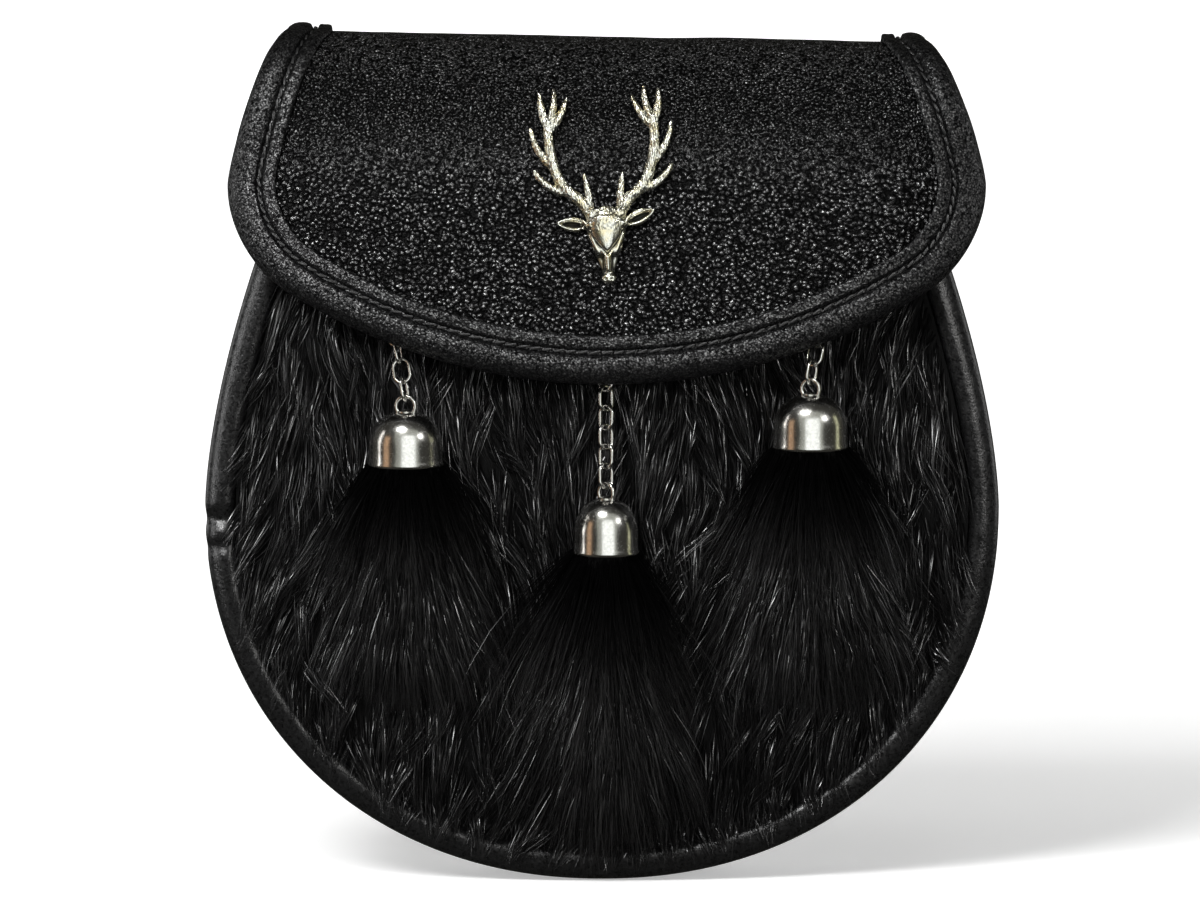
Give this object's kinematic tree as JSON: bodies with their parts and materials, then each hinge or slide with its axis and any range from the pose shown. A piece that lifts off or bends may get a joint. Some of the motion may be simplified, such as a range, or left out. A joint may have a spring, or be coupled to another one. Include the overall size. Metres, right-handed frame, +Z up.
{
  "type": "sporran pouch",
  "caption": "Round black leather belt pouch with a fur front, a bound flap with a cast stag's head, and fur tassels hung on chains under bell caps.",
  "frame": {"origin": "middle of the strap channel behind the back panel, where the pouch hangs", "axes": "+Z up, -Y out of the front, +X to the right as the front is seen"},
  "size_m": [0.2, 0.0709, 0.2156],
  "materials": {
    "black_leather": "smooth black leather, soft satin shine",
    "grained_leather": "pebbled black leather, satin shine on the grain",
    "black_fur": "glossy black hair, lying downwards",
    "chrome": "polished plated metal",
    "antique_silver": "cast metal with an antique silver finish, dark in its recesses"
  },
  "bodies": {
    "root": {"back_panel": "black_leather", "gusset": "black_leather", "front_panel": "black_leather", "front_rim": "black_leather", "fur_panel": "black_fur", "flap": "grained_leather", "flap_binding": "black_leather", "stag_badge": "antique_silver", "closure_stud": "chrome", "strap_loop": "black_leather", "chain_staple_left": "chrome", "bell_left": "chrome", "tassel_left": "black_fur", "chain_staple_centre": "chrome", "bell_centre": "chrome", "tassel_centre": "black_fur", "chain_staple_right": "chrome", "bell_right": "chrome", "tassel_right": "black_fur", "link_left_1": "chrome", "link_left_2": "chrome", "link_left_3": "chrome", "link_left_4": "chrome", "link_left_5": "chrome", "link_centre_1": "chrome", "link_centre_2": "chrome", "link_centre_3": "chrome", "link_centre_4": "chrome", "link_centre_5": "chrome", "link_centre_6": "chrome", "link_centre_7": "chrome", "link_right_1": "chrome", "link_right_2": "chrome", "link_right_3": "chrome", "link_right_4": "chrome", "link_right_5": "chrome"}
  },
  "joints": []
}
